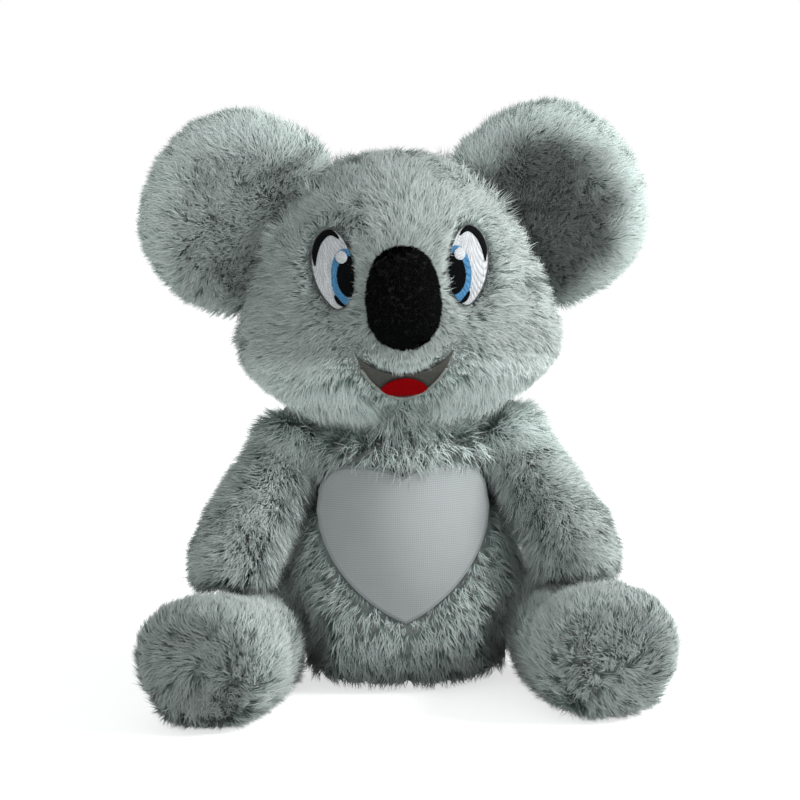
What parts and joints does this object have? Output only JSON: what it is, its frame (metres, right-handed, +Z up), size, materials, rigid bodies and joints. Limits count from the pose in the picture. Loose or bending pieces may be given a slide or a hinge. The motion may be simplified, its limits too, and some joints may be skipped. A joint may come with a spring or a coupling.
{
  "type": "plush koala",
  "caption": "Sitting long-pile plush koala with round dished ears, stuffed nose, embroidered eyes and a knitted heart on its belly; neck, ears, arms and legs bend at their seams.",
  "frame": {"origin": "under the middle of the toy's bounding box, on the surface that it sits on", "axes": "+Z up, -Y the way that the toy faces, +X to the toy's own left"},
  "size_m": [0.2464, 0.1802, 0.2733],
  "materials": {
    "plush": "long pile",
    "fibre_fill": "loose fibre",
    "pouch_cloth": "woven",
    "knit": "fine knit",
    "black_pile": "short pile",
    "grey_felt": "felt",
    "red_felt": "felt",
    "white_thread": "satin stitch",
    "blue_thread": "satin stitch",
    "black_thread": "satin stitch"
  },
  "bodies": {
    "body": {"body_skin": "plush", "body_fill": "fibre_fill", "pellet_pouch": "pouch_cloth", "heart_panel": "knit"},
    "neck": {"neck_fill": "fibre_fill"},
    "head": {"head_skin": "plush", "head_fill": "fibre_fill", "nose_cover": "black_pile", "nose_fill": "fibre_fill", "mouth_felt": "grey_felt", "tongue": "red_felt", "eye_left_white": "white_thread", "eye_left_iris": "blue_thread", "eye_left_pupil": "black_thread", "eye_left_glint": "white_thread", "eye_left_upper_lid": "black_thread", "eye_left_lower_lid": "black_thread", "eye_right_white": "white_thread", "eye_right_iris": "blue_thread", "eye_right_pupil": "black_thread", "eye_right_glint": "white_thread", "eye_right_upper_lid": "black_thread", "eye_right_lower_lid": "black_thread"},
    "ear_left": {"ear_left_skin": "plush", "ear_left_fill": "fibre_fill"},
    "ear_right": {"ear_right_skin": "plush", "ear_right_fill": "fibre_fill"},
    "arm_left": {"arm_left_skin": "plush", "arm_left_fill": "fibre_fill"},
    "arm_right": {"arm_right_skin": "plush", "arm_right_fill": "fibre_fill"},
    "leg_left": {"leg_left_skin": "plush", "leg_left_sole": "plush", "leg_left_fill": "fibre_fill"},
    "leg_right": {"leg_right_skin": "plush", "leg_right_sole": "plush", "leg_right_fill": "fibre_fill"}
  },
  "joints": [
    {"name": "neck_nod", "type": "hinge", "parent": "body", "child": "neck", "pos_m": [0, 0.03559, 0.126], "axis": [1, 0, 0], "range_deg": [-8, 8], "stiffness_Nm_per_rad": 2},
    {"name": "neck_turn", "type": "hinge", "parent": "neck", "child": "head", "pos_m": [0, 0.03559, 0.126], "axis": [0, 0, 1], "range_deg": [-25, 25], "stiffness_Nm_per_rad": 1},
    {"name": "ear_left_fold", "type": "hinge", "parent": "head", "child": "ear_left", "pos_m": [0.05938, 0.04018, 0.215], "axis": [-0.522, -0.0228, 0.8526], "range_deg": [-15, 15], "stiffness_Nm_per_rad": 0.3},
    {"name": "ear_right_fold", "type": "hinge", "parent": "head", "child": "ear_right", "pos_m": [-0.05955, 0.03499, 0.215], "axis": [-0.522, -0.0228, -0.8526], "range_deg": [-15, 15], "stiffness_Nm_per_rad": 0.3},
    {"name": "arm_left_raise", "type": "hinge", "parent": "body", "child": "arm_left", "pos_m": [0.05125, 0.03059, 0.113], "axis": [0, -1, 0], "range_deg": [0, 45], "stiffness_Nm_per_rad": 0.3},
    {"name": "arm_right_raise", "type": "hinge", "parent": "body", "child": "arm_right", "pos_m": [-0.05125, 0.03059, 0.113], "axis": [0, 1, 0], "range_deg": [0, 45], "stiffness_Nm_per_rad": 0.3},
    {"name": "leg_left_splay", "type": "hinge", "parent": "body", "child": "leg_left", "pos_m": [0.067, 0.02759, 0.03092], "axis": [0, 0, 1], "range_deg": [-10, 10], "stiffness_Nm_per_rad": 0.5},
    {"name": "leg_right_splay", "type": "hinge", "parent": "body", "child": "leg_right", "pos_m": [-0.067, 0.02759, 0.03092], "axis": [0, 0, -1], "range_deg": [-10, 10], "stiffness_Nm_per_rad": 0.5}
  ]
}
